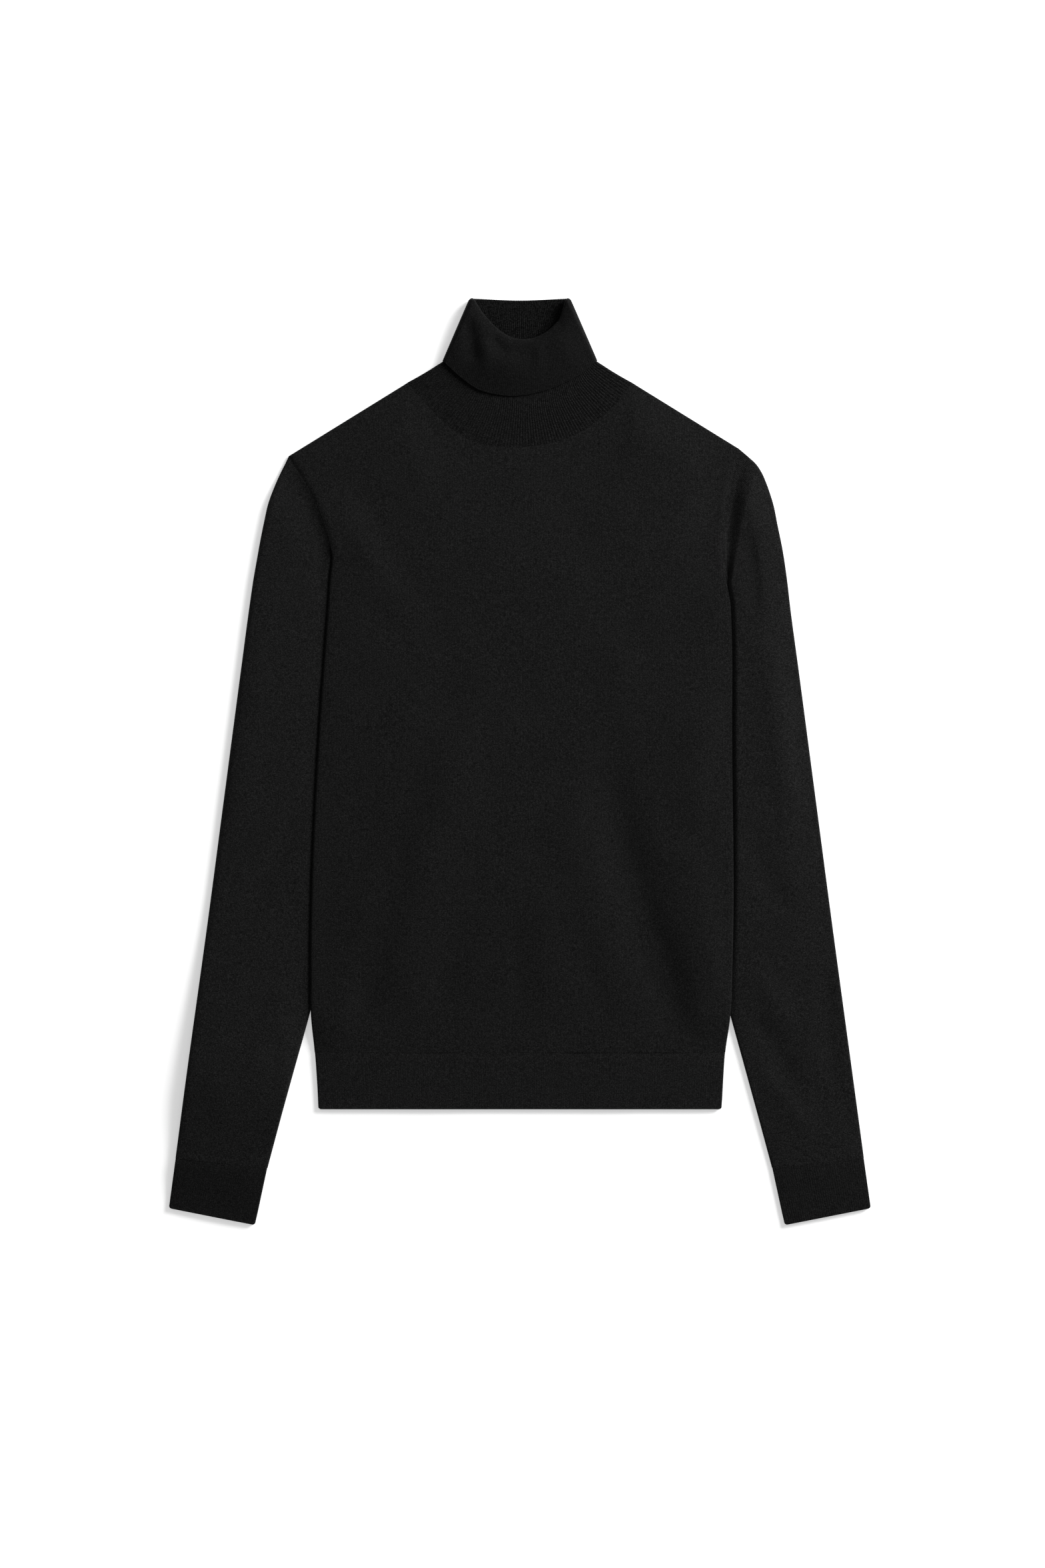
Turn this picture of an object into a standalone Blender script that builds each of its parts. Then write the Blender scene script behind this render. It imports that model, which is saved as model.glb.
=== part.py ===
"""A fine-knit turtleneck sweater laid out flat, face up.

+X runs across the chest, +Y from hem to collar and +Z up from the table. Left and right are as seen
from the front. Shapes are worked out in millimetres and put into the meshes in metres.
"""

import math
from collections import namedtuple

import bpy
import numpy as np

MM = 0.001

# Cloth
JERSEY = 1.4
RIB = 1.6
SEAM_GAP = 0.3
FOLD_GAP = 1.3
ARMHOLE_GAP = 0.6
TIP_GAP = 1.25
PRESSED_AIR = 0.6
BODY_AIR = 2.4
BODY_CROWN = 0.9
SLEEVE_AIR = 3.2
CLEAR_OF_SLEEVE = 4.1

# How the body rises over the sleeves: level until this far past the sleeve, then a ramp, and from
# nothing at the shoulder tip and at the hem seam
LIFT_MARGIN = 24.0
LIFT_RAMP = 34.0
LIFT_STARTS_OVER = 66.0
LIFT_ENDS_OVER = 38.0
CROWN_REACH = 70.0

# A fold between two layers is half an octagon: the height of its side and the depth of its corner,
# as parts of the half thickness.
FOLD_SIDE = 0.41
FOLD_CORNER = 0.59
# The three steps in from a panel's edge: how far up its fold each is, and how deep, in a fold and at
# a seam.
FOLD_LEVELS = (0.0, FOLD_SIDE, 1.0)
FOLDED_DEPTHS = (0.0, 0.0, 1.0)
SEAMED_DEPTHS = (0.0, 0.5, 1.0)

# Sizes along the garment
SIDE_FOLD_ENDS_BELOW = 10.0
SIDE_FOLD_FADE = 14.0
BODY_FOLD = FOLD_CORNER * (JERSEY + BODY_AIR / 2)
SIDE_GAP = 0.18
HEM_END = -325.6
HEM_SEAM = -272.5
SHOULDER_SLOPE = math.tan(math.radians(31.7))
SHOULDER_START = (72.0, 375.6)
SHOULDER_FOLD = BODY_FOLD / math.cos(math.atan(SHOULDER_SLOPE))
NECK_HALF = 105.4
TIP = {-1: (-216.6, 286.3), 1: (205.5, 293.1)}
UNDERARM = {-1: (-176.0, 194.7), 1: (193.5, 170.0)}
HIDDEN_UNDERARM = (118.0, 95.0)
SLEEVE_COMES_OUT = (197.8, -232.0)

# The body's side folds and, above the underarms, its armhole seams
Side = namedtuple("Side", "along left right")
BODY_SIDES = (
    Side(-325.6, -189.0, 189.5),
    Side(-300.0, -190.3, 190.8),
    Side(-272.5, -192.3, 192.6),
    Side(-240.0, -196.8, 197.6),
    Side(-192.0, -196.0, 199.0),
    Side(28.0, -188.0, 199.0),
    Side(126.0, -181.0, 198.4),
    Side(150.0, -179.2, 197.2),
    Side(170.0, -178.0, 193.5),
    Side(194.7, -176.0, 190.6),
    Side(212.0, -179.4, 190.4),
    Side(231.0, -186.0, 192.0),
    Side(254.0, -195.6, 195.8),
    Side(272.0, -207.0, 200.0),
    Side(286.3, -216.6, 203.6),
    Side(293.1, -221.0, 205.5),
)

# Heights at which the body has a section, from the hem seam to the shoulder tip
BODY_ROWS = (-272.5, -248, -220, -188, -152, -114, -76, -38, 0, 38, 76, 110, 138, 158, 176, 194.7,
             212, 231, 254, 272)

# Neckline seam of the front and of the back, and the collar's lips, by place across
Curve = namedtuple("Curve", "across along")
FRONT_NECK = (
    Curve(-105.4, 354.2), Curve(-92, 340), Curve(-78, 324.5), Curve(-63, 311.5), Curve(-45, 300.8),
    Curve(-24, 295.9), Curve(2.5, 295.0), Curve(30, 298.6), Curve(55, 308), Curve(74, 320.5),
    Curve(90, 336), Curve(105.4, 354.2),
)
BACK_NECK = (
    Curve(-105.4, 354.2), Curve(-84, 345), Curve(-45, 337.6), Curve(0, 336), Curve(45, 337.6),
    Curve(84, 345), Curve(105.4, 354.2),
)
FRONT_LIP = (
    Curve(-1.0, 434.2), Curve(-0.86, 424), Curve(-0.68, 414), Curve(-0.46, 404.6),
    Curve(-0.21, 397.8), Curve(0.07, 395.4), Curve(0.29, 396.4), Curve(0.53, 401.2),
    Curve(0.73, 408.5), Curve(0.88, 417), Curve(1.0, 434.2),
)
BACK_LIP = (Curve(-1.0, 434.2), Curve(0.0, 432.4), Curve(1.0, 434.2))
FRONT_EDGE = (
    Curve(-1.0, 375.0), Curve(-0.73, 357.6), Curve(-0.55, 348.8), Curve(-0.34, 344.4),
    Curve(-0.12, 342.5), Curve(0.05, 343.2), Curve(0.36, 348.4), Curve(0.57, 354.4),
    Curve(0.77, 362), Curve(1.0, 375.4),
)
BACK_EDGE = (Curve(-1.0, 375.2), Curve(0.0, 371.0), Curve(1.0, 375.2))
NECK_COLUMNS = (-102.6, -92, -78, -63, -45, -24, 2.5, 30, 55, 74, 90, 102.6)
COLLAR_COLUMNS = (-1.0, *(across / NECK_HALF for across in NECK_COLUMNS), 1.0)
SHOULDER_COLUMNS = (0.3, 0.62)
HEM_COLUMNS = (0.13, 0.26, 0.38, 0.5, 0.62, 0.74, 0.87)
HEM_ROWS = (0.0, 0.33, 0.67, 1.0)
CUFF_COLUMNS = (0.25, 0.5, 0.75)
CUFF_ROWS = (0.0, 0.5, 1.0)
HIDDEN_SEAM_PARTS = (0.0, 0.3, 0.62, 0.97, 1.0)

# The collar's stand, from the neckline to the fold: its side, and the levels of its two walls
Stand = namedtuple("Stand", "part half_width side_along front_level back_level")
COLLAR_STAND = (
    Stand(0.0, 104.2, 354.9, 4.4, 0.8),
    Stand(0.16, 91.5, 363.0, 4.5, 1.7),
    Stand(0.3, 79.5, 370.4, 4.7, 2.9),
    Stand(0.42, 69.4, 377.5, 5.0, 2.9),
    Stand(0.55, 62.6, 388.0, 5.4, 2.9),
    Stand(0.7, 56.6, 402.0, 6.0, 2.9),
    Stand(0.86, 50.6, 417.0, 6.6, 2.9),
    Stand(1.0, 44.4, 432.2, 7.2, 2.9),
)
FRONT_ROLL = 2.0
BACK_ROLL = 1.05
TURNED_HALF = 72.0
TURNED_FRONT_LEVEL = 7.2
TURNED_PUFF = 1.3
TURNED_ROWS = (0.3, 0.65, 1.0)
ROLL_ANGLES = (45, 90, 135, 180)

# The sleeve's outer fold from the shoulder to the cuff, as across by along
SLEEVE_OUTER = (
    Curve(216.6, 286.3), Curve(228, 264), Curve(237.5, 239), Curve(243, 214), Curve(247.5, 189),
    Curve(251, 164), Curve(261, 89), Curve(277.5, -36), Curve(294, -161), Curve(311, -286),
    Curve(322.5, -371),
)
SLEEVE_INNER = (
    Curve(118, 95), Curve(141, 0), Curve(171.5, -125), Curve(197.8, -232), Curve(212, -286),
    Curve(224.4, -336), Curve(236.2, -380),
)
# Where each of the sleeve's sections meets its outer and its inner fold
Section = namedtuple("Section", "outer inner")
SLEEVE_SECTIONS = (
    Section(279, 93), Section(269, 90.5), Section(254, 87), Section(234, 82), Section(208, 74),
    Section(174, 61), Section(134, 40), Section(84, 4), Section(24, -46), Section(-46, -106),
    Section(-116, -168), Section(-186, -230), Section(-250, -284), Section(-312, -334),
    Section(-370.8, -379.8),
)
# The seam's bend fades out of the sections over this distance, the sleeve's edge stays level with the
# body's for a little and then dips into a valley beside the seam
SEAM_PULL_REACH = 180.0
SEAM_LEVEL = 2.5
VALLEY_REACH = 12.0
SEAM_SINKS_BELOW = 3.0
SEAM_SINKS_OVER = 18.0
# The sleeve fills out this far from the body's edge
PUFF_STARTS = 4.0
PUFF_REACH = 32.0
AWAY_FROM_BODY = (0.83, -0.56)

# The cuff: its outer and inner corners at the seam and at the wrist
CUFF_SEAM = ((322.55, -371.3), (236.3, -380.3))
CUFF_END = ((329.2, -418.2), (248.0, -434.2))
CUFF_AIR = 2.0

# The largest folds of the front: from, to, half width and height (a trough is negative)
FOLDS_FADE_OVER = 40.0
Fold = namedtuple("Fold", "x0 y0 x1 y1 reach height")
FRONT_FOLDS = (
    Fold(112, -30, 172, -262, 24, -1.6),
    Fold(69, -48, 138, -250, 20, 1.0),
    Fold(48, -140, 88, -215, 16, -1.0),
    Fold(0, -140, -10, -215, 22, 0.8),
    Fold(-81, 20, -131, -111, 22, -1.2),
    Fold(-131, -111, -144, -223, 22, -1.2),
    Fold(-40, 200, 60, 190, 40, 0.6),
)


def eased(part):
    """0 to 1 with a soft start and end."""
    part = min(1.0, max(0.0, part))
    return part * part * (3 - 2 * part)


def smooth(rows, at):
    """The smooth curve through rows of (key, value), read at one key."""
    keys, values = np.array(rows, float).T
    at = min(keys[-1], max(keys[0], at))
    slopes = np.gradient(values, keys)
    k = min(len(keys) - 2, max(0, int(np.searchsorted(keys, at)) - 1))
    span = keys[k + 1] - keys[k]
    t = (at - keys[k]) / span
    start = values[k] * (1 + 2 * t) * (1 - t) ** 2 + span * slopes[k] * t * (1 - t) ** 2
    end = values[k + 1] * t * t * (3 - 2 * t) + span * slopes[k + 1] * t * t * (t - 1)
    return float(start + end)


def along_curve(rows, along):
    """The point at this height on a curve whose rows run down the sleeve."""
    keys = [(row.along, row.across) for row in reversed(rows)]
    return np.array((smooth(keys, along), along))


def body_side(side, along):
    along = min(along, TIP[side][1])
    return smooth([(row.along, row.left if side < 0 else row.right) for row in BODY_SIDES], along)


def shoulder(across):
    return SHOULDER_START[1] - (abs(across) - SHOULDER_START[0]) * SHOULDER_SLOPE


def neckline(rows, across, gap):
    """The seam's height at this place, moved by a gap measured square to the seam."""
    step = 1.0
    slope = (smooth(rows, across + step) - smooth(rows, across - step)) / (2 * step)
    return smooth(rows, across) + gap * math.sqrt(1 + slope * slope)


def distance_beyond(point, start, end, side):
    """How far a point lies beyond the line from start to end, counted towards the body's middle."""
    run = np.array(end) - np.array(start)
    normal = np.array((-run[1], run[0])) / np.linalg.norm(run)
    return float(np.dot(np.array(point) - start, normal * -side * math.copysign(1, normal[0])))


def lift(x, y):
    """How high the body lies here, over the hidden part of a sleeve."""
    side = -1 if x < 0 else 1
    under = np.array((side * HIDDEN_UNDERARM[0], HIDDEN_UNDERARM[1]))
    out = np.array((side * SLEEVE_COMES_OUT[0], SLEEVE_COMES_OUT[1]))
    beyond = max(
        distance_beyond((x, y), under, out, side),
        distance_beyond((x, y), UNDERARM[side], under, side),
    )
    between = eased((TIP[side][1] - y) / LIFT_STARTS_OVER) * eased((y - HEM_SEAM) / LIFT_ENDS_OVER)
    return CLEAR_OF_SLEEVE * (1 - eased((beyond - LIFT_MARGIN) / LIFT_RAMP)) * between


def body_thickness(x, y):
    """From the underside of the back to the top of the front, before folds."""
    top = shoulder(x) if abs(x) > NECK_HALF else smooth(FRONT_NECK, x)
    crown = eased((y - HEM_SEAM) / CROWN_REACH) * eased((top - y) / CROWN_REACH)
    crown *= 1 - lift(x, y) / CLEAR_OF_SLEEVE
    return 2 * JERSEY + BODY_AIR + BODY_CROWN * crown


def fold_height(x, y):
    """The large folds: soft troughs and ridges that fade towards their ends and towards the hem."""
    total = 0.0
    for fold in FRONT_FOLDS:
        start = np.array((fold.x0, fold.y0))
        run = np.array((fold.x1, fold.y1)) - start
        length = np.linalg.norm(run)
        at = np.dot((x, y) - start, run) / length**2
        off = np.linalg.norm((x, y) - start - run * min(1, max(0, at)))
        total += fold.height * math.exp(-((off / fold.reach) ** 2))
    return total * eased((y - HEM_SEAM) / FOLDS_FADE_OVER)


def sheet(name, grid, wall, material, around=False, offset=-1.0):
    """One cloth object from a grid of points in millimetres: an open surface with a wall."""
    grid = np.array(grid) * MM
    rows, columns = grid.shape[:2]
    faces = []
    for i in range(rows - 1):
        for j in range(columns if around else columns - 1):
            k = (j + 1) % columns
            faces.append((i * columns + j, i * columns + k, (i + 1) * columns + k, (i + 1) * columns + j))
    mesh = bpy.data.meshes.new(name)
    mesh.from_pydata(grid.reshape(-1, 3).tolist(), [], faces)
    mesh.materials.append(material)
    mesh.shade_smooth()
    obj = bpy.data.objects.new(name, mesh)
    garment.objects.link(obj)
    shell = obj.modifiers.new("wall", "SOLIDIFY")
    shell.thickness = wall * MM
    shell.offset = offset
    shell.use_even_offset = False
    return obj


def ring(front, back):
    """Points round a flattened tube. front and back hold (x, y, z) from one fold to the other; the end
    points are set at the fold's side."""
    points = []
    for own, other, sign in ((front, back, 1), (back[::-1], front[::-1], -1)):
        own = [list(point) for point in own]
        for end, neighbour in ((0, 1), (-1, -2)):
            half = abs(own[neighbour][2] - other[neighbour][2]) / 2
            middle = (own[neighbour][2] + other[neighbour][2]) / 2
            own[end][2] = middle + sign * FOLD_SIDE * half
        points += own
    return points


def body_columns():
    """Places across the top of the body, from one shoulder tip to the other."""
    left, right = TIP[-1][0], TIP[1][0]
    left_shoulder = [left + part * (-NECK_HALF - left) for part in SHOULDER_COLUMNS]
    right_shoulder = [right + part * (NECK_HALF - right) for part in reversed(SHOULDER_COLUMNS)]
    return [*left_shoulder, -NECK_HALF, *NECK_COLUMNS, NECK_HALF, *right_shoulder]


def body_height(row, top):
    """Where a row from BODY_ROWS lies in a column that ends at this height."""
    start = HEM_SEAM + SEAM_GAP / 2
    part = (row - HEM_SEAM) / (TIP[-1][1] - HEM_SEAM)
    return start + part * (top - SHOULDER_FOLD - start)


def body_panel(name, face, neck, material):
    """The front (face 1) or the back (face -1), from the hem seam to shoulders and neckline."""
    left_tip, right_tip = TIP[-1][0], TIP[1][0]
    columns = [(0.0, step) for step in (0, 1, 2)]
    columns += [((x - left_tip) / (right_tip - left_tip), 2) for x in body_columns()]
    columns += [(1.0, step) for step in (2, 1, 0)]
    rows = [(row, 2) for row in (*BODY_ROWS, TIP[-1][1])] + [(None, 1), (None, 0)]
    grid = []
    for row, row_step in rows:
        line = []
        for part, column_step in columns:
            top_x = left_tip + part * (right_tip - left_tip)
            at_neck = abs(top_x) < NECK_HALF - 1
            top = neckline(neck, top_x, -SEAM_GAP / 2) if at_neck else shoulder(top_x)
            depths = SEAMED_DEPTHS if at_neck else FOLDED_DEPTHS
            y = body_height(row, top) if row is not None else top - SHOULDER_FOLD * depths[row_step]
            side = -1 if part < 0.5 else 1
            above = y - UNDERARM[side][1] + SIDE_FOLD_ENDS_BELOW
            folded = 1 - eased(above / SIDE_FOLD_FADE)
            seamed_depth, folded_depth = SEAMED_DEPTHS[column_step], FOLDED_DEPTHS[column_step]
            depth = BODY_FOLD * (seamed_depth + (folded_depth - seamed_depth) * folded) + SIDE_GAP
            left, right = body_side(-1, y), body_side(1, y)
            x = left + part * (right - left)
            x += {0.0: depth, 1.0: -depth}.get(part, 0.0)
            fullness = 1 - (1 - FOLD_LEVELS[column_step]) * folded
            if not at_neck:
                fullness *= FOLD_LEVELS[row_step]
            half = body_thickness(x, y) / 2
            rise = half + (fold_height(x, y) if face > 0 else 0.0)
            line.append((x, y, lift(x, y) + half + face * max(FOLD_GAP / 2, fullness * rise)))
        grid.append(line[::face])
    return sheet(name, grid, JERSEY, material)


def armhole_points(side):
    """The armhole seam from shoulder tip to hidden underarm, at the heights where the body has rows."""
    tip = np.array(TIP[side])
    heights = [body_height(row, tip[1]) for row in (*BODY_ROWS, TIP[-1][1])]
    seam = [tip]
    seam += [np.array((body_side(side, y), y)) for y in reversed(heights) if y > UNDERARM[side][1] + 4]
    bend = np.array(UNDERARM[side])
    under = np.array((side * HIDDEN_UNDERARM[0], HIDDEN_UNDERARM[1]))
    hidden = [bend + (under - bend) * part for part in HIDDEN_SEAM_PARTS]
    return seam, hidden


def sleeve(name, side, material):
    """A tube from the armhole seam to the cuff seam, flat on the table."""
    seam, hidden = armhole_points(side)
    away = np.array((side * AWAY_FROM_BODY[0], AWAY_FROM_BODY[1]))
    top_points = [point + away * (TIP_GAP if j < 2 else ARMHOLE_GAP) for j, point in enumerate(seam)] + hidden
    lengths = np.cumsum([0.0] + [float(np.linalg.norm(b - a)) for a, b in zip(top_points, top_points[1:])])
    parts = lengths / lengths[-1]
    inset = FOLD_CORNER * (JERSEY + SLEEVE_AIR / 2)
    mirror = np.array((side, 1))
    outer_top, inner_top = top_points[0], top_points[-1]
    rows = [(outer_top, inner_top)]
    for section in SLEEVE_SECTIONS:
        rows.append((
            along_curve(SLEEVE_OUTER, section.outer) * mirror,
            along_curve(SLEEVE_INNER, section.inner) * mirror,
        ))
    last = len(parts) - 1
    grid = []
    for outer, inner in rows:
        width = float(np.linalg.norm(inner - outer))
        pull = max(0.0, 1 - float(np.linalg.norm(outer - outer_top)) / SEAM_PULL_REACH) ** 1.5
        front, back = [], []
        for j, part in enumerate(parts):
            straight = outer_top + part * (inner_top - outer_top)
            at = {0: 0.0, 1: inset / width, last - 1: 1 - inset / width, last: 1.0}.get(j, part)
            at = part + (at - part) * (1 - pull) if j in (1, last - 1) else at
            x, y = outer + at * (inner - outer) + pull * (top_points[j] - straight)
            from_seam = float(np.linalg.norm((x, y) - top_points[j]))
            showing = side * (x - body_side(side, y))
            air = PRESSED_AIR + (SLEEVE_AIR - PRESSED_AIR) * eased((showing - PUFF_STARTS) / PUFF_REACH)
            near_seam = 1 - eased((from_seam - SEAM_LEVEL) / VALLEY_REACH)
            above = top_points[j][1] - UNDERARM[side][1] - SEAM_SINKS_BELOW
            joined = near_seam * eased(above / SEAM_SINKS_OVER) if j < len(seam) else 0.0
            rise = lift(*top_points[j]) * joined
            air += (BODY_AIR - air) * joined
            back.append((x, y, rise))
            front.append((x, y, rise + 2 * JERSEY + air))
        loop = ring(front, back)
        grid.append(loop if side > 0 else loop[::-1])
    return sheet(name, grid, JERSEY, material, around=True)


def cuff(name, side, material):
    half = RIB + CUFF_AIR / 2
    grid = []
    for part in CUFF_ROWS:
        outer, inner = (
            np.array(seam) + part * (np.array(end) - np.array(seam)) for seam, end in zip(CUFF_SEAM, CUFF_END)
        )
        width = float(np.linalg.norm(inner - outer))
        corner = FOLD_CORNER * half / width
        places = [0.0, corner, *CUFF_COLUMNS, 1 - corner, 1.0]
        across = [(outer + at * (inner - outer)) * (side, 1) for at in places]
        front = [(x, y, 2 * half) for x, y in across]
        back = [(x, y, 0.0) for x, y in across]
        loop = ring(front, back)
        grid.append(loop if side > 0 else loop[::-1])
    return sheet(name, grid, RIB, material, around=True)


def hem_band(material):
    half = JERSEY + BODY_AIR / 2
    corner = FOLD_CORNER * half
    start = HEM_SEAM - SEAM_GAP / 2
    grid = []
    for part in HEM_ROWS:
        y = start + part * (HEM_END - start)
        left, right = body_side(-1, y), body_side(1, y)
        across = [left, left + corner]
        across += [left + (right - left) * at for at in HEM_COLUMNS]
        across += [right - corner, right]
        front = [(x, y, 2 * half) for x in across]
        back = [(x, y, 0.0) for x in across]
        grid.append(ring(front, back)[::-1])
    return sheet("hem_band", grid, RIB, material, around=True)


def collar_ring(half_width, front_curve, back_curve, front_level, back_level):
    """One ring of the collar's middle surface, from places across given as parts of its half width."""
    corner = FOLD_CORNER * (front_level - back_level) / 2
    across = [part * half_width for part in COLLAR_COLUMNS]
    across[1], across[-2] = corner - half_width, half_width - corner
    front = [(x, front_curve(x / half_width), front_level) for x in across]
    back = [(x, back_curve(x / half_width), back_level) for x in across]
    return np.array(ring(front, back))


def stand_curve(row, neck, lip, roll):
    """Heights along one ring of the stand, between the neckline seam and the lip."""
    base_half = COLLAR_STAND[0].half_width
    base_side = neckline(neck, base_half, SEAM_GAP / 2)
    top_side = smooth(lip, 1.0) - BACK_ROLL

    def height(part):
        base = neckline(neck, part * base_half, SEAM_GAP / 2) - base_side
        top = smooth(lip, part) - roll - top_side
        return row.side_along + base * (1 - row.part) + top * row.part

    return height


def roll_directions():
    """For each point round a ring: which way is outwards, and how wide the lip rolls there."""
    last = len(COLLAR_COLUMNS) - 1
    outward, radii = [], []
    for sign in (1, -1):
        for j, part in enumerate(COLLAR_COLUMNS[::sign]):
            angle = math.radians({0: 22.5, 1: 67.5, last - 1: 67.5, last: 22.5}.get(j, 90))
            sideways = 0.0 if 1 < j < last - 1 else math.copysign(math.cos(angle), part)
            outward.append((sideways, 0.0, sign * math.sin(angle)))
            radii.append(BACK_ROLL + (FRONT_ROLL - BACK_ROLL) * (1 + sign * math.sin(angle)) / 2)
    return np.array(outward), np.array(radii)[:, None]


def collar(material):
    """The collar's middle surface: up the stand, over the rolled lip and down to the free edge."""
    rings = []
    for row in COLLAR_STAND:
        front = stand_curve(row, FRONT_NECK, FRONT_LIP, FRONT_ROLL)
        back = stand_curve(row, BACK_NECK, BACK_LIP, BACK_ROLL)
        rings.append(collar_ring(row.half_width, front, back, row.front_level, row.back_level))
    top = rings[-1]
    upward = (top - rings[-2]) * (1, 1, 0)
    upward /= np.linalg.norm(upward, axis=1)[:, None]
    outward, radii = roll_directions()
    for angle in ROLL_ANGLES:
        turn = math.radians(angle)
        rings.append(top + radii * (outward * (1 - math.cos(turn)) + upward * math.sin(turn)))
    rolled = rings[-1]
    free_edge = collar_ring(TURNED_HALF, lambda part: smooth(FRONT_EDGE, part),
                            lambda part: smooth(BACK_EDGE, part), TURNED_FRONT_LEVEL, RIB / 2)
    puffed = np.array([max(0, sign) * (1 - part**4) for sign in (1, -1) for part in COLLAR_COLUMNS[::sign]])
    for part in TURNED_ROWS:
        row = rolled + part * (free_edge - rolled)
        row[:, 2] += TURNED_PUFF * math.sin(math.pi * part) * puffed
        rings.append(row)
    return sheet("collar", rings, RIB, material, around=True, offset=0.0)


def knit(name, colour, roughness):
    material = bpy.data.materials.new(name)
    material.use_nodes = True
    shader = material.node_tree.nodes["Principled BSDF"]
    shader.inputs["Base Color"].default_value = (*colour, 1)
    shader.inputs["Roughness"].default_value = roughness
    shader.inputs["Metallic"].default_value = 0
    return material


for old in list(bpy.data.objects):
    bpy.data.objects.remove(old)
garment = bpy.data.collections.new("turtleneck_sweater")
bpy.context.scene.collection.children.link(garment)

body_panel("body_front", 1, FRONT_NECK, knit("front jersey", (0.010, 0.010, 0.011), 0.9))
body_panel("body_back", -1, BACK_NECK, knit("back jersey", (0.010, 0.010, 0.011), 0.9))
hem_band(knit("hem rib", (0.009, 0.009, 0.010), 0.9))
collar(knit("collar rib", (0.011, 0.011, 0.012), 0.9))
for word, side in (("left", -1), ("right", 1)):
    sleeve(f"sleeve_{word}", side, knit(f"{word} sleeve jersey", (0.010, 0.010, 0.011), 0.9))
    cuff(f"cuff_{word}", side, knit(f"{word} cuff rib", (0.009, 0.009, 0.010), 0.9))
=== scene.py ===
# Fine-knit black turtleneck sweater, laid out flat and face up on a white table.
# The scene is in metres. The garment is worked out in millimetres: x across the chest, y from hem to
# collar, z up from the table. Left and right are as seen from the front.
import math

import bpy
import mathutils
import numpy as np
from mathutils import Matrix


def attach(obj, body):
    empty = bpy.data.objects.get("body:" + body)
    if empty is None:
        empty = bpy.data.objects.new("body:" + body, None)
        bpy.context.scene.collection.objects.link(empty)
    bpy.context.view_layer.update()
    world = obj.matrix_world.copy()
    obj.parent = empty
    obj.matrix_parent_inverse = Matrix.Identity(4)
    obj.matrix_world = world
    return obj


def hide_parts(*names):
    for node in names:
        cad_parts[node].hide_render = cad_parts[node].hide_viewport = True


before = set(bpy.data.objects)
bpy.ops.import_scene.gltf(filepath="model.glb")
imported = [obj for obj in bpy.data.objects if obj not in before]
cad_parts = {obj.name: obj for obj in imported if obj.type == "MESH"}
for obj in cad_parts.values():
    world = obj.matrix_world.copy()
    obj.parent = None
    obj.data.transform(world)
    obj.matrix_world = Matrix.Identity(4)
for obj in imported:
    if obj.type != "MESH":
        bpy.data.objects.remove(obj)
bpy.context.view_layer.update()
mm = 0.001
sideWords = {-1: "Left", 1: "Right"}
foldTurns = np.linspace(0, math.pi / 2, 7)[:-1]  # steps round a fold, from its side almost to its top


def eased(part):
    part = np.clip(part, 0, 1)
    return part * part * (3 - 2 * part)


# A smooth curve through given values, as a function that reads it anywhere
def curveThrough(keys, values):
    keys, values = np.array(keys, float), np.array(values, float)
    slopes = np.gradient(values, keys)

    def read(at):
        at = np.clip(at, keys[0], keys[-1])
        k = np.clip(np.searchsorted(keys, at) - 1, 0, len(keys) - 2)
        span = keys[k + 1] - keys[k]
        t = (at - keys[k]) / span
        return (values[k] * (1 + 2 * t) * (1 - t) ** 2 + span * slopes[k] * t * (1 - t) ** 2
                + values[k + 1] * t * t * (3 - 2 * t) + span * slopes[k + 1] * t * t * (t - 1))

    return read


# Soft troughs (negative height) and ridges drawn over the cloth, each along a short line of points.
# reach is the half width on the line's left and on its right, so that a fold can be steeper on one side.
def creases(x, y, strokes):
    total = np.zeros_like(x)
    for stroke in strokes:
        line = np.array(stroke["line"], float)
        lengths = np.linalg.norm(np.diff(line, axis=0), axis=1)
        nearest = np.full(x.shape, 1e9)
        place, signed = np.zeros_like(x), np.zeros_like(x)
        for k in range(len(line) - 1):
            run = line[k + 1] - line[k]
            along = np.clip(((x - line[k, 0]) * run[0] + (y - line[k, 1]) * run[1]) / lengths[k] ** 2, 0, 1)
            dx, dy = x - line[k, 0] - along * run[0], y - line[k, 1] - along * run[1]
            off = np.hypot(dx, dy)
            closer = off < nearest
            nearest = np.where(closer, off, nearest)
            place = np.where(closer, (lengths[:k].sum() + along * lengths[k]) / lengths.sum(), place)
            signed = np.where(closer, run[0] * dy - run[1] * dx, signed)
        reach = np.where(signed > 0, stroke["reach"][0], stroke["reach"][1])
        ends = stroke.get("ends", 0.35)
        taper = eased(place / ends + 0.15) * eased((1 - place) / ends + 0.15)
        total += stroke["height"] * taper * np.exp(-((nearest / reach) ** 2))
    return total


# Slight unevenness of cloth that was smoothed by hand: a few long waves at odd angles
def handSmoothed(x, y, seed, height):
    random = np.random.default_rng(seed)
    total = np.zeros_like(x)
    for _ in range(9):
        angle, wave = random.uniform(0, math.pi), random.uniform(34, 120)
        phase = random.uniform(0, 2 * math.pi)
        total += np.sin((x * math.cos(angle) + y * math.sin(angle)) * 2 * math.pi / wave + phase) * wave / 90
    return height * total / 3


# How far cloth dips at its seam, after a slight swell beside it
def seamDip(distance, depth, swell=0.0, swellAt=1.0, swellWidth=1.0):
    swelling = swell * np.exp(-(((distance - swellAt) / swellWidth) ** 2))
    return depth * np.exp(-((distance / 1.6) ** 2)) - swelling


# An sRGB hex colour as the linear one that the shader takes
def linearColour(hexText):
    channels = [int(hexText[k:k + 2], 16) / 255 for k in (1, 3, 5)]
    return [c / 12.92 if c <= 0.04045 else ((c + 0.055) / 1.055) ** 2.4 for c in channels] + [1]


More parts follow.
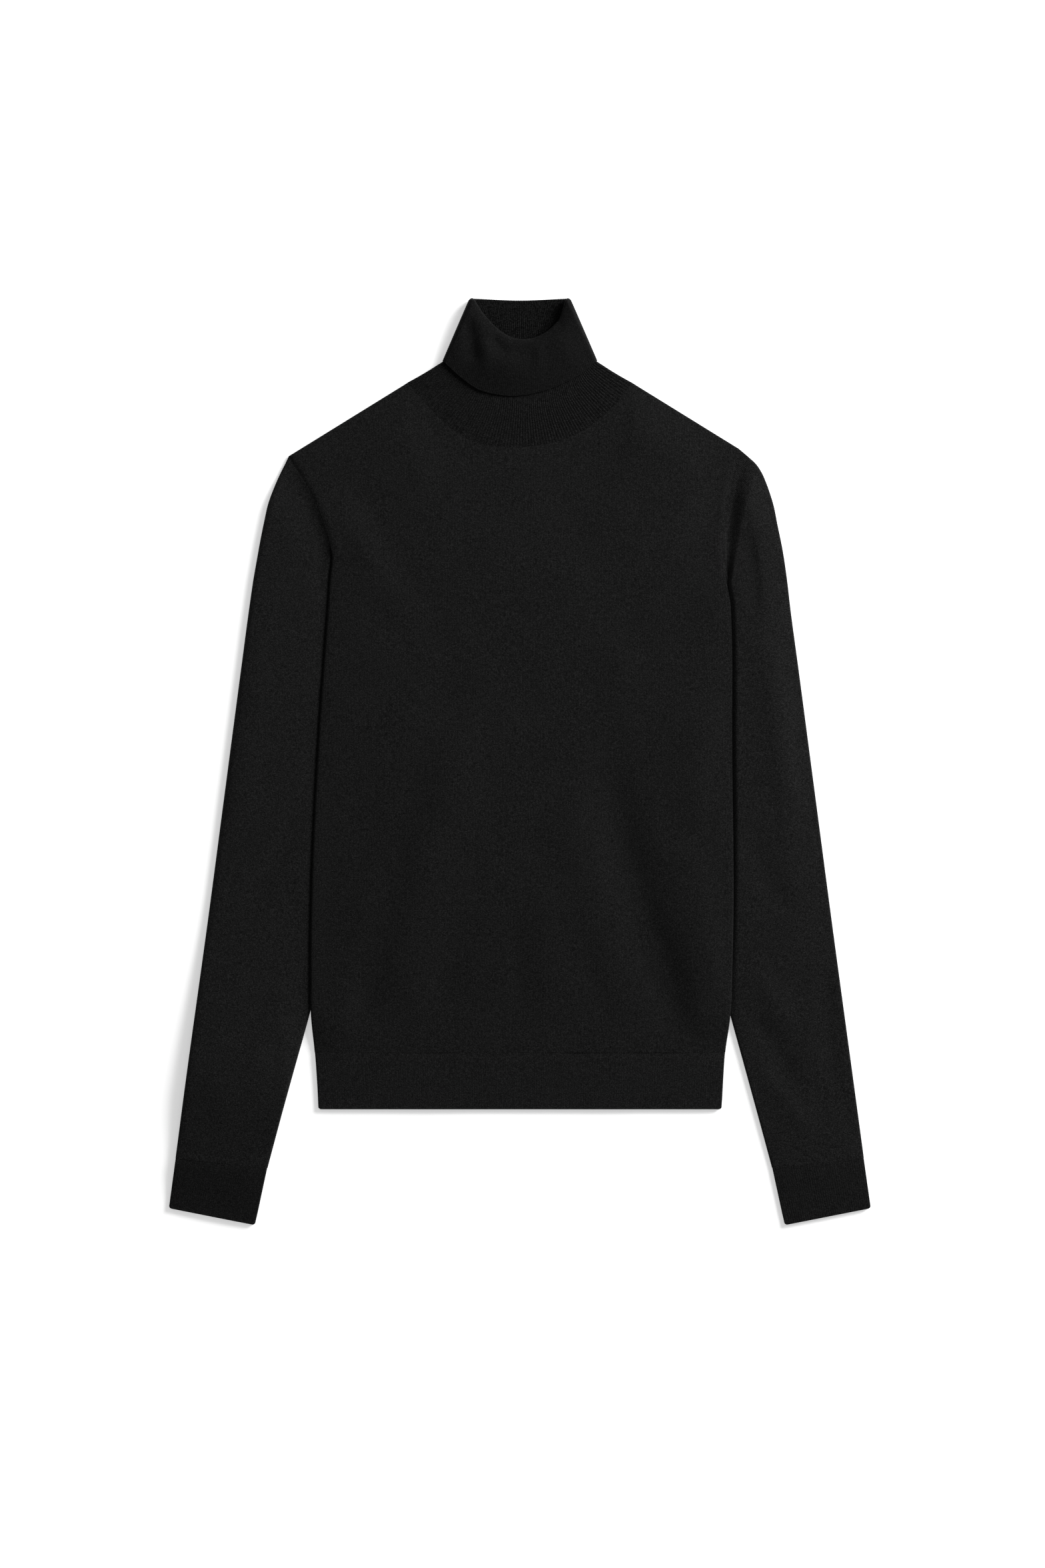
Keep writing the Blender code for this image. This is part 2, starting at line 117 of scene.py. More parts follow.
def addNode(tree, kind, inputs=(), **settings):
    node = tree.nodes.new(kind)
    for key, value in settings.items():
        setattr(node, key, value)
    for key, value in dict(inputs).items():
        if isinstance(value, bpy.types.NodeSocket):
            tree.links.new(value, node.inputs[key])
        else:
            node.inputs[key].default_value = value
    return node


def addObject(name, data):
    made = bpy.data.objects.new(name, data)
    bpy.context.scene.collection.objects.link(made)
    return made


# One maths step on sockets or numbers, giving its output socket
def maths(tree, operation, *values):
    return addNode(tree, "ShaderNodeMath", dict(enumerate(values)), operation=operation).outputs[0]


# Knitted wool: every stitch is a V of two yarn legs. The UV map counts wales across and courses up, so
# one unit square is one stitch. Grooves between the wales, uneven yarn, loose fibres and a faint heather
# give the dull black its grain; sheen is the light that the fuzz catches at the edges.
def knitMaterial(name, look):
    material = bpy.data.materials.new(name)
    material.use_nodes = True
    tree = material.node_tree
    shader = tree.nodes["Principled BSDF"]
    place = addNode(tree, "ShaderNodeUVMap", uv_map="stitches").outputs["UV"]
    split = addNode(tree, "ShaderNodeSeparateXYZ", {0: place})
    across, up = split.outputs[0], split.outputs[1]

    # A slow wander of the wales, so that no column of stitches is ruler straight
    sway = addNode(tree, "ShaderNodeTexNoise", {"Vector": place, "Scale": 0.045, "Detail": 2.0})
    across = maths(tree, "ADD", across, maths(tree, "MULTIPLY", sway.outputs[0], look["sway"]))

    fromMiddle = maths(tree, "ABSOLUTE", maths(tree, "SUBTRACT", maths(tree, "FRACT", across), 0.5))
    fromMiddle = maths(tree, "MULTIPLY", fromMiddle, 2.0)
    rising = maths(tree, "SUBTRACT", up, maths(tree, "MULTIPLY", fromMiddle, 0.8))
    leg = maths(tree, "SINE", maths(tree, "MULTIPLY", maths(tree, "FRACT", rising), math.pi))
    betweenWales = maths(tree, "POWER", fromMiddle, 3.0)
    inMiddle = maths(tree, "POWER", maths(tree, "SUBTRACT", 1.0, fromMiddle), 6.0)
    groove = maths(tree, "ADD", betweenWales, maths(tree, "MULTIPLY", inMiddle, 0.35))
    stitch = maths(tree, "SUBTRACT", maths(tree, "MULTIPLY", leg, look["legs"]),
                   maths(tree, "MULTIPLY", groove, look["grooves"]))

    # Thick and thin yarn: short streaks along the wales
    stretch = addNode(tree, "ShaderNodeMapping", {"Vector": place, "Scale": (1.0, 0.35, 1.0)})
    yarn = addNode(tree, "ShaderNodeTexNoise",
                   {"Vector": stretch.outputs[0], "Scale": 0.9, "Detail": 3.0, "Roughness": 0.65}).outputs[0]
    # Loose fibres over the stitches, then flecks about a millimetre across and heather of two or three
    spot = addNode(tree, "ShaderNodeTexCoord").outputs["Object"]
    fibres, flecks, heather, clouds = [
        addNode(tree, "ShaderNodeTexNoise",
                {"Vector": spot, "Scale": 1 / (size * mm), "Detail": detail, "Roughness": 0.6,
                 "Distortion": 0.4}).outputs[0]
        for size, detail in ((0.7, 3.0), (1.1, 1.5), (2.6, 2.0), (45.0, 3.0))]
    height = maths(tree, "ADD", stitch, maths(tree, "MULTIPLY", yarn, look["unevenYarn"]))
    height = maths(tree, "ADD", height, maths(tree, "MULTIPLY", fibres, look["fibres"]))
    bump = addNode(tree, "ShaderNodeBump", {"Height": height, "Distance": look["depth"] * mm,
                                            "Strength": 1.0})
    tree.links.new(bump.outputs[0], shader.inputs["Normal"])

    # Light doesn't reach the bottom of the grooves, and single fibres stand out lighter than the rest
    lit = 0.5
    bright = maths(tree, "POWER", maths(tree, "MULTIPLY", flecks, 2.0), 5.0)
    for source, middle, amount in ((stitch, 0.0, look["grooveShade"]), (yarn, 0.5, look["yarnShade"]),
                                   (bright, 1.25, look["flecks"]), (heather, 0.5, look["heather"]),
                                   (clouds, 0.5, look["clouds"])):
        shift = maths(tree, "MULTIPLY", maths(tree, "SUBTRACT", source, middle), amount)
        lit = maths(tree, "ADD", shift, lit)
    tone = addNode(tree, "ShaderNodeValToRGB", {0: lit})
    tone.color_ramp.elements[0].position = 0.0
    tone.color_ramp.elements[0].color = linearColour(look["groove"])
    tone.color_ramp.elements[1].position = 1.0
    tone.color_ramp.elements[1].color = linearColour(look["yarn"])
    tree.links.new(tone.outputs[0], shader.inputs["Base Color"])
    rough = maths(tree, "ADD", maths(tree, "MULTIPLY", fibres, 0.2), look["rough"])
    tree.links.new(rough, shader.inputs["Roughness"])
    shader.inputs["Specular IOR Level"].default_value = look["specular"]
    shader.inputs["Sheen Weight"].default_value = look["sheen"]
    shader.inputs["Sheen Roughness"].default_value = look["sheenRough"]
    shader.inputs["Sheen Tint"].default_value = linearColour("#d9d9d9")
    return material


jerseyLook = {
    "wale": 1.55, "course": 1.15,  # one stitch, in millimetres
    "yarn": "#1c1c1c", "groove": "#020202",
    "legs": 0.3, "grooves": 0.4, "unevenYarn": 0.9, "fibres": 1.1, "sway": 1.6,
    "grooveShade": 0.2, "yarnShade": 0.6, "flecks": 0.22, "heather": 0.68, "clouds": 0.12,
    "depth": 0.42, "rough": 0.75, "specular": 0.05, "sheen": 0.05, "sheenRough": 0.3,
}
ribLook = dict(jerseyLook, yarn="#1d1d1d", course=1.2, legs=0.4, grooves=0.4, sway=0.2, heather=0.5)
# the collar's tighter rib has deeper grooves; its yarn is set darker than the hem's rib, painted shade of
# those deep grooves
shadedCollarLook = dict(ribLook, yarn="#171717", grooves=0.8, grooveShade=0.22, flecks=0.32)
# the collar's inside: its yarn and grooves set darker still, painted shade inside the collar's hollow
shadedInsideLook = dict(shadedCollarLook, yarn="#131313", grooveShade=0.6, flecks=0.8)
# the collar's turned-down part shows the rib's soft brushed side; its yarn is set darker than the hem's rib
# as painted shade
shadedBrushedLook = dict(ribLook, yarn="#151515", legs=0.12, grooves=0.16, unevenYarn=0.5, fibres=0.8,
                   grooveShade=0.16, yarnShade=0.5, flecks=0.2, heather=0.5, sheen=0.04)
# fine plain-knit wool: a dull black with faint upright lines of stitches
jersey = knitMaterial("plainKnitWool", jerseyLook)
# the sleeves' plain knit lies aslant to the light; its yarn is set a little lighter, painted light for the
# brighter look that this gives the sleeves
litSleeveJersey = knitMaterial("sleeveLitKnitWool", dict(jerseyLook, yarn="#1e1e1e"))
# knitted 1x1 rib of the same wool: closer, with shaded lines between the ribs
rib = knitMaterial("ribKnitWool", ribLook)
# the cuffs' rib: its yarn set darker than the hem's, painted shade at the sleeves' ends
shadedCuffRib = knitMaterial("cuffRibWool", dict(ribLook, yarn="#191919"))
shadedCollarRib = knitMaterial("tightRibShadedWool", shadedCollarLook)
shadedInsideRib = knitMaterial("insideRibWool", shadedInsideLook)
# rib with its loose fibres brushed up: soft and even, its lines almost covered; its darker yarn is painted
# shade
brushed = knitMaterial("brushedRibShadedWool", shadedBrushedLook)
# the single yarn that links rib to jersey, its colour set darker than the wool: painted shade, so that its
# loops sunk in the seam stay dark
linking = knitMaterial("linkingYarnShaded", dict(ribLook, yarn="#0f0f0f", depth=0.1))
print("knitted wool materials ready")


# A cloth piece from rows of points on its outside (offset -1) or its middle (offset 0), given a wall.
# stitches holds the wale and course numbers of each point; a tube's has one column more, for its seam.
def clothPiece(name, grid, stitches, wall, material, around=False, offset=-1.0):
    rows, columns = grid.shape[:2]
    i, j = np.meshgrid(np.arange(rows - 1), np.arange(columns if around else columns - 1), indexing="ij")
    k = (j + 1) % columns
    quads = np.stack([i * columns + j, i * columns + k, (i + 1) * columns + k, (i + 1) * columns + j], -1)
    quads = quads.reshape(-1, 4)
    mesh = bpy.data.meshes.new(name)
    mesh.from_pydata((grid.reshape(-1, 3) * mm).tolist(), [], quads.tolist())
    corners = stitches[np.stack([i, i, i + 1, i + 1], -1), np.stack([j, j + 1, j + 1, j], -1)]
    layer = mesh.uv_layers.new(name="stitches")
    layer.data.foreach_set("uv", corners.reshape(-1).astype(np.float32))
    mesh.materials.append(material)
    mesh.shade_smooth()
    piece = addObject(name, mesh)
    shell = piece.modifiers.new("wall", "SOLIDIFY")
    shell.thickness, shell.offset, shell.use_even_offset = wall * mm, offset, False
    applied(piece)
    piece.data.set_sharp_from_angle(angle=math.radians(70))  # keeps the cut edges crisp
    return piece


# Works an object's modifiers into a plain mesh
def applied(piece):
    graph = bpy.context.evaluated_depsgraph_get()
    mesh = bpy.data.meshes.new_from_object(piece.evaluated_get(graph))
    mesh.name = piece.name
    piece.modifiers.clear()
    old, piece.data = piece.data, mesh
    bpy.data.meshes.remove(old)


# The cloth's area in square metres, by the triangles between its points
def gridArea(grid, around=False):
    points = (np.concatenate([grid, grid[:, :1]], 1) if around else grid) * mm
    first = np.cross(points[1:, :-1] - points[:-1, :-1], points[:-1, 1:] - points[:-1, :-1])
    second = np.cross(points[1:, :-1] - points[1:, 1:], points[:-1, 1:] - points[1:, 1:])
    return float(np.linalg.norm(first, axis=2).sum() + np.linalg.norm(second, axis=2).sum()) / 2


# Joins a finished cloth piece to the frame, hides its CAD part and prints its cloth area
def finishCloth(piece, node, flat, area):
    area = min(area, flat[0] * flat[1])  # the rib waves add a little to what was cut
    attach(piece, "root")
    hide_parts(node)
    print(piece.name, len(piece.data.polygons), "faces, cloth area", round(area, 4))


# The body: a front and a back that meet in a fold at the sides and the shoulders
body = {
    "cut": (0.430, 0.632), "frontPoints": (128, 196), "backPoints": (72, 104),
    "wall": 1.3, "air": 2.4, "edgeAir": 0.9, "seamGap": 0.02,
    "crown": 3.2, "fills": (150, 45),  # the middle's extra fullness, and how far in from each side it is full
    "hemSeam": -272.5, "hemEnd": -325.6,
    "sides": (  # y, left edge, right edge; above the underarms these are the armhole seams
        (-325.6, -189.0, 189.5), (-300, -190.3, 190.8), (-272.5, -192.3, 192.6), (-240, -195.5, 197.0),
        (-192, -196, 199), (28, -188, 199), (126, -181, 198.4), (150, -179.2, 197.2), (170, -178, 193.5),
        (194.7, -176, 190.6), (212, -179.4, 190.4), (231, -186, 192), (254, -195.6, 195.8),
        (272, -207, 200), (286.3, -216.6, 203.6), (293.1, -221, 205.5)),
    "tip": {-1: (-216.6, 286.3), 1: (205.5, 293.1)},
    "underarm": {-1: (-176.0, 194.7), 1: (193.5, 170.0)},
    "hiddenUnderarm": (118.0, 95.0), "sleeveComesOut": (197.8, -232.0),
    "shoulderStart": (72.0, 375.6), "shoulderSlope": math.tan(math.radians(31.7)),
    "neckHalf": 105.4,
    "frontNeck": ((-105.4, 354.9), (-92, 340), (-78, 324.5), (-63, 311.5), (-45, 300.8), (-24, 295.9),
                  (2.5, 295), (30, 298.6), (55, 308), (74, 320.5), (90, 336), (105.4, 354.9)),
    "backNeck": ((-105.4, 354.9), (-84, 345), (-45, 337.6), (0, 336), (45, 337.6), (84, 345),
                 (105.4, 354.9)),
    "overSleeve": 4.1, "liftMargin": 24.0, "liftRamp": 34.0, "liftStarts": 66.0, "liftEnds": 38.0,
}
alongs, lefts, rights = np.array(body["sides"]).T
edgeCurve = {-1: curveThrough(alongs, lefts), 1: curveThrough(alongs, rights)}
frontNeck = curveThrough(*np.array(body["frontNeck"]).T)
backNeck = curveThrough(*np.array(body["backNeck"]).T)


def bodyEdge(side, y):
    return edgeCurve[side](np.minimum(y, body["tip"][side][1]))


def shoulderLine(x):
    return body["shoulderStart"][1] - (np.abs(x) - body["shoulderStart"][0]) * body["shoulderSlope"]


# How far a point lies beyond the line from start to end, counted towards the body's middle
def beyond(x, y, start, end, side):
    run = np.array(end, float) - start
    normal = np.array((-run[1], run[0])) / np.linalg.norm(run)
    normal *= -side * math.copysign(1, normal[0])
    return (x - start[0]) * normal[0] + (y - start[1]) * normal[1]


# How high the body lies here, over the hidden part of a sleeve
def liftAt(x, y):
    total = np.zeros_like(x)
    for side in (-1, 1):
        under = (side * body["hiddenUnderarm"][0], body["hiddenUnderarm"][1])
        out = (side * body["sleeveComesOut"][0], body["sleeveComesOut"][1])
        inside = np.maximum(beyond(x, y, under, out, side), beyond(x, y, body["underarm"][side], under, side))
        rise = 1 - eased((inside - body["liftMargin"]) / body["liftRamp"])
        rise *= eased((body["tip"][side][1] - y) / body["liftStarts"])
        rise *= eased((y - body["hemSeam"]) / body["liftEnds"])
        total = np.where(x * side > 0, rise, total)
    return body["overSleeve"] * total


# The folds that the front lies in; the hidden back has gentler ones of its own
frontStrokes = (
    dict(line=((80, 10), (96, -80), (118, -160), (142, -226), (160, -268)), reach=(20, 27), height=-4.2),
    dict(line=((44, -10), (60, -90), (84, -160), (112, -262)), reach=(26, 24), height=1.2),
    dict(line=((150, -60), (170, -140), (184, -230)), reach=(15, 20), height=1.8),
    dict(line=((60, -170), (72, -210), (88, -256)), reach=(14, 14), height=-0.9),
    dict(line=((24, -110), (26, -170), (30, -240)), reach=(16, 18), height=1.3),
    dict(line=((-4, -140), (-2, -190), (4, -240)), reach=(11, 12), height=-0.7),
    dict(line=((-50, 60), (-88, -60), (-108, -150), (-132, -240)), reach=(34, 52), height=4.6),
    dict(line=((-96, 40), (-130, -80), (-150, -170), (-164, -250)), reach=(28, 58), height=-2.4),
    dict(line=((-54, -130), (-66, -190), (-80, -250)), reach=(16, 14), height=-1.0),
    dict(line=((-150, 150), (-110, 120), (-60, 108)), reach=(18, 24), height=-1.1),
    dict(line=((-160, 190), (-118, 205), (-84, 208)), reach=(16, 18), height=1.1),
    dict(line=((178, 150), (140, 110), (96, 90)), reach=(20, 18), height=-1.1),
    dict(line=((178, 70), (166, -10), (160, -70)), reach=(16, 30), height=2.4),
    dict(line=((-50, 210), (0, 196), (64, 202)), reach=(36, 42), height=0.6),
    dict(line=((118, 300), (96, 262), (60, 236)), reach=(18, 22), height=-1.1),
    dict(line=((-124, 300), (-100, 262), (-66, 240)), reach=(20, 18), height=-1.1),
)
backStrokes = (
    dict(line=((-60, 250), (0, 232), (66, 246)), reach=(30, 30), height=-0.5),
    dict(line=((-120, 60), (-60, -60), (-40, -200)), reach=(20, 26), height=-0.7),
    dict(line=((110, 40), (70, -70), (64, -210)), reach=(24, 20), height=-0.7),
)


# Half the body's thickness before folds: thinner at the edges, a little fuller inside
def bodyHalf(x, y):
    inward = np.minimum(x - bodyEdge(-1, y), bodyEdge(1, y) - x)
    top = np.where(np.abs(x) > body["neckHalf"], shoulderLine(x), frontNeck(x))
    inward = np.minimum(inward, np.maximum(0, (shoulderLine(x) - y) * 0.85))
    full = 1 - np.exp(-np.maximum(inward, 0) / 14)
    # it fills more slowly below the collar than below the shoulders
    underCollar = 1 - eased((np.abs(x) - 50) / 80)
    crown = eased((y - body["hemSeam"]) / 170) * eased((top - y) / (50 + 100 * underCollar))
    crown *= eased((x - bodyEdge(-1, y)) / body["fills"][0]) * eased((bodyEdge(1, y) - x) / body["fills"][1])
    crown *= 1 - liftAt(x, y) / body["overSleeve"]
    air = body["edgeAir"] + (body["air"] - body["edgeAir"]) * full + body["crown"] * crown
    return body["wall"] + air / 2


def topOfBody(x, y):
    return liftAt(x, y) + 2 * bodyHalf(x, y)


def bodyPanel(name, node, face, neck, strokes, pointCounts):
    acrossCount, upCount = pointCounts
    folds = len(foldTurns)
    radius = body["wall"] + body["edgeAir"] / 2
    leftTip, rightTip = body["tip"][-1][0] + radius, body["tip"][1][0] - radius
    corners = [(end * body["neckHalf"] - leftTip) / (rightTip - leftTip) for end in (-1, 1)]
    # one column of points falls on each corner of the neck
    shares = (corners[0], corners[1] - corners[0], 1 - corners[1])
    counts = [round(acrossCount * share) for share in shares]
    starts = (0, *corners, 1)
    spans = [np.linspace(starts[k], starts[k + 1], counts[k], endpoint=False) for k in range(3)]
    inner = np.concatenate(spans + [[1.0]])
    part = np.concatenate([np.zeros(folds), inner, np.ones(folds)])[None, :]
    turn = np.concatenate([foldTurns, np.full(len(inner), math.pi / 2), foldTurns[::-1]])[None, :]
    fromTip = radius * (1 - turn / (math.pi / 2)) * np.where(part < 0.5, 1, -1)
    topX = leftTip + part * (rightTip - leftTip) - fromTip
    atNeck = eased(body["neckHalf"] + 1 - np.abs(topX))
    top = np.where(np.abs(topX) <= body["neckHalf"], neck(topX), shoulderLine(topX))
    upTurn = np.concatenate([np.full(upCount, math.pi / 2), foldTurns[::-1]])[:, None]
    rise = np.concatenate([np.linspace(0, 1, upCount), np.ones(folds)])[:, None]
    start = body["hemSeam"] + body["seamGap"]
    foldDepth = radius / math.cos(math.atan(body["shoulderSlope"]))
    y = start + rise * (top - foldDepth - start)
    folded = foldDepth * np.cos(upTurn)
    seamed = foldDepth * (1 - upTurn / (math.pi / 2))
    y = y + np.where(rise >= 1, folded * (1 - atNeck) + seamed * atNeck, 0)
    y = np.broadcast_to(y, np.broadcast_shapes(y.shape, part.shape)).copy()

    side = np.where(part < 0.5, -1, 1)
    underarm = np.where(side < 0, body["underarm"][-1][1], body["underarm"][1][1])
    sideFolded = 1 - eased((y - underarm + 10) / 14)  # above the underarm the edge is a seam, not a fold
    depth = radius * ((1 - np.cos(turn)) * sideFolded + turn / (math.pi / 2) * (1 - sideFolded))
    left, right = bodyEdge(-1, y), bodyEdge(1, y)
    x = left + radius + part * (right - left - 2 * radius)
    x = np.where(turn < math.pi / 2, np.where(side < 0, left + depth, right - depth), x)
    level = 1 - (1 - np.sin(turn)) * sideFolded
    level = level * (1 - (1 - np.sin(upTurn)) * (1 - atNeck))

    half = bodyHalf(x, y)
    inward = np.minimum(x - left, right - x)
    fade = eased(inward / 16) * eased((top - y) / 22) * eased((y - body["hemSeam"]) / 34)
    uneven = creases(x, y, strokes) + handSmoothed(x, y, 11 + face, 0.22)
    # The cloth dips where it runs into the armhole and neck seams and into the hem's first row
    toArmhole = np.where(sideFolded < 0.5, inward, 99)
    toNeck = (top - y) * 0.75 / np.maximum(atNeck, 1e-3)
    dip = seamDip(toArmhole, 0.35, 0.3, 5, 4) + seamDip(toNeck, 0.05, 0.1, 6, 4)
    dip = dip + seamDip(y - body["hemSeam"], 0.05, 0.12, 7, 5)
    if face > 0:
        rise = half + uneven * fade - dip
    else:
        rise = half + np.minimum(0, uneven * fade)
    z = liftAt(x, y) + half + face * np.maximum(0.06, level * rise)
    grid = np.stack([x, y, z], -1)
    stitches = np.stack([x / jerseyLook["wale"], y / jerseyLook["course"]], -1)
    if face < 0:
        grid, stitches = grid[:, ::-1], stitches[:, ::-1]
    piece = clothPiece(name, grid, stitches, body["wall"], jersey)
    finishCloth(piece, node, body["cut"], gridArea(grid))


bodyPanel("bodyFront", "body_front", 1, frontNeck, frontStrokes, body["frontPoints"])
bodyPanel("bodyBack", "body_back", -1, backNeck, backStrokes, body["backPoints"])


# Sleeves: each a flattened tube, pressed flat where the body lies on it
sleeve = {
    "cut": (0.470, 0.720), "wall": 1.3, "pressedAir": 0.7,
    "edgeAir": {-1: 2.8, 1: 1.5}, "air": {-1: 4.6, 1: 6.8}, "sag": {-1: 1.6, 1: 0.0},
    "outer": {  # the upper arm on each side, from the shoulder's tip
        -1: ((216.6, 286.3), (219.8, 279.5), (223.8, 271.6), (230.8, 255.7), (235.9, 241.6), (239.5, 225.8),
             (243.1, 208.1), (246.6, 188.7), (249.4, 172.9)),
        1: ((205.5, 293.1), (213.3, 286.5), (221, 279.4), (226.4, 271.5), (230.8, 261.8), (234.3, 252.1),
            (237.8, 240.6), (241.4, 223), (246.7, 196.6), (250.6, 170))},
    "forearm": ((253.5, 145), (261, 89), (277.5, -36), (294, -161), (311, -286), (322.5, -371)),
    "inner": ((118, 95), (141, 0), (171, -125), (195.8, -232), (210.6, -286), (224.3, -336), (236.2, -380)),
    # sections across the sleeve: where each meets the outer fold and the inner one
    "sections": ((279, 93), (269, 90.5), (254, 87), (234, 82), (208, 74), (174, 61), (134, 40), (84, 4),
                 (24, -46), (-46, -106), (-116, -168), (-186, -230), (-250, -284), (-312, -334),
                 (-371.28, -380.28)),
    "rows": 250, "acrossFront": 84, "acrossBack": 34, "alongSeam": (40, 30),  # points
    "seamPull": 180.0,  # how far down the sleeve the armhole seam bends its rows
    "rises": (3.2, 7.6),  # it rises from this far under the body's edge, over this width
    "thins": {-1: 0.1, 1: 0.78},  # how much less full the forearm is
    "fills": {-1: 6, 1: 36},  # how far in from its outer fold it is full
    "levelBeside": {-1: 7, 1: 10},  # this near the armhole seam it is level with the body
    "drop": {-1: 3.6, 1: 4.8}, "recovers": {-1: 50, 1: 24},  # then how it falls away beside it
    # the left forearm lies a little proud and slopes down to its end, where this share is left
    "endRaised": {-1: 6.4, 1: 0.0}, "cuffShare": 0.55,
}
# The folds of each sleeve, drawn where it lies
sleeveStrokes = {
    1: (
        dict(line=((236, 120), (248, 10), (262, -80)), reach=(10, 16), height=1.3),
        dict(line=((214, -60), (236, -120), (262, -150)), reach=(11, 13), height=-1.0),
        dict(line=((210, -190), (232, -214), (262, -262)), reach=(11, 13), height=1.2),
        dict(line=((212, -232), (236, -262), (262, -312)), reach=(10, 12), height=-1.3),
        dict(line=((222, -286), (250, -318), (276, -352)), reach=(8, 10), height=1.3),
        dict(line=((292, -190), (288, -250), (300, -320)), reach=(9, 12), height=-1.1),
        dict(line=((212, 222), (219, 180), (222, 132)), reach=(6, 12), height=-1.7),
    ),
    -1: (
        dict(line=((-238, 150), (-252, 40), (-270, -90)), reach=(14, 12), height=1.1),
        dict(line=((-206, -40), (-232, -100), (-262, -136)), reach=(12, 9), height=-1.3),
        dict(line=((-228, -210), (-252, -246), (-282, -270)), reach=(10, 10), height=-1.2),
        dict(line=((-232, -262), (-262, -296), (-300, -312)), reach=(18, 16), height=1.4),
    ),
}


# The sleeve's top end: down the armhole seam to the underarm, then hidden below the body
def seamLine(side):
    tip, under = body["tip"][side], body["underarm"][side]
    shownCount, hiddenCount = sleeve["alongSeam"]
    heights = np.linspace(tip[1], under[1] + 3, shownCount)
    shown = np.stack([bodyEdge(side, heights), heights], -1)
    hidden = (side * body["hiddenUnderarm"][0], body["hiddenUnderarm"][1])
    line = np.concatenate([shown, np.linspace(under, hidden, hiddenCount)])
    lengths = np.concatenate([[0], np.cumsum(np.linalg.norm(np.diff(line, axis=0), axis=1))])
    away = np.zeros_like(line)
    away[:shownCount] = np.array((side * 0.83, -0.56)) * body["seamGap"]  # just clear of the body
    return line + away, lengths / lengths[-1]


# Places round a flat tube, from its first fold over the front to its second and back underneath: the
# distance from the first fold as part of the width, plus how far round the fold, and front or back
def tubePlaces(count, backCount):
    folds = len(foldTurns)
    places = []
    for total, face in ((count, 1), (backCount, -1)):
        part = np.concatenate([np.zeros(folds), np.linspace(0, 1, total), np.ones(folds)])
        angle = np.concatenate([foldTurns, np.full(total, math.pi / 2), foldTurns[::-1]])
        both = np.stack([part, angle, np.full(len(part), face)], -1)
        if face < 0:
            both = both[::-1]
        # both faces start and end at the fold's side, so the second leaves those out
        places.append(both if face > 0 else both[1:-1])
    return np.concatenate(places)


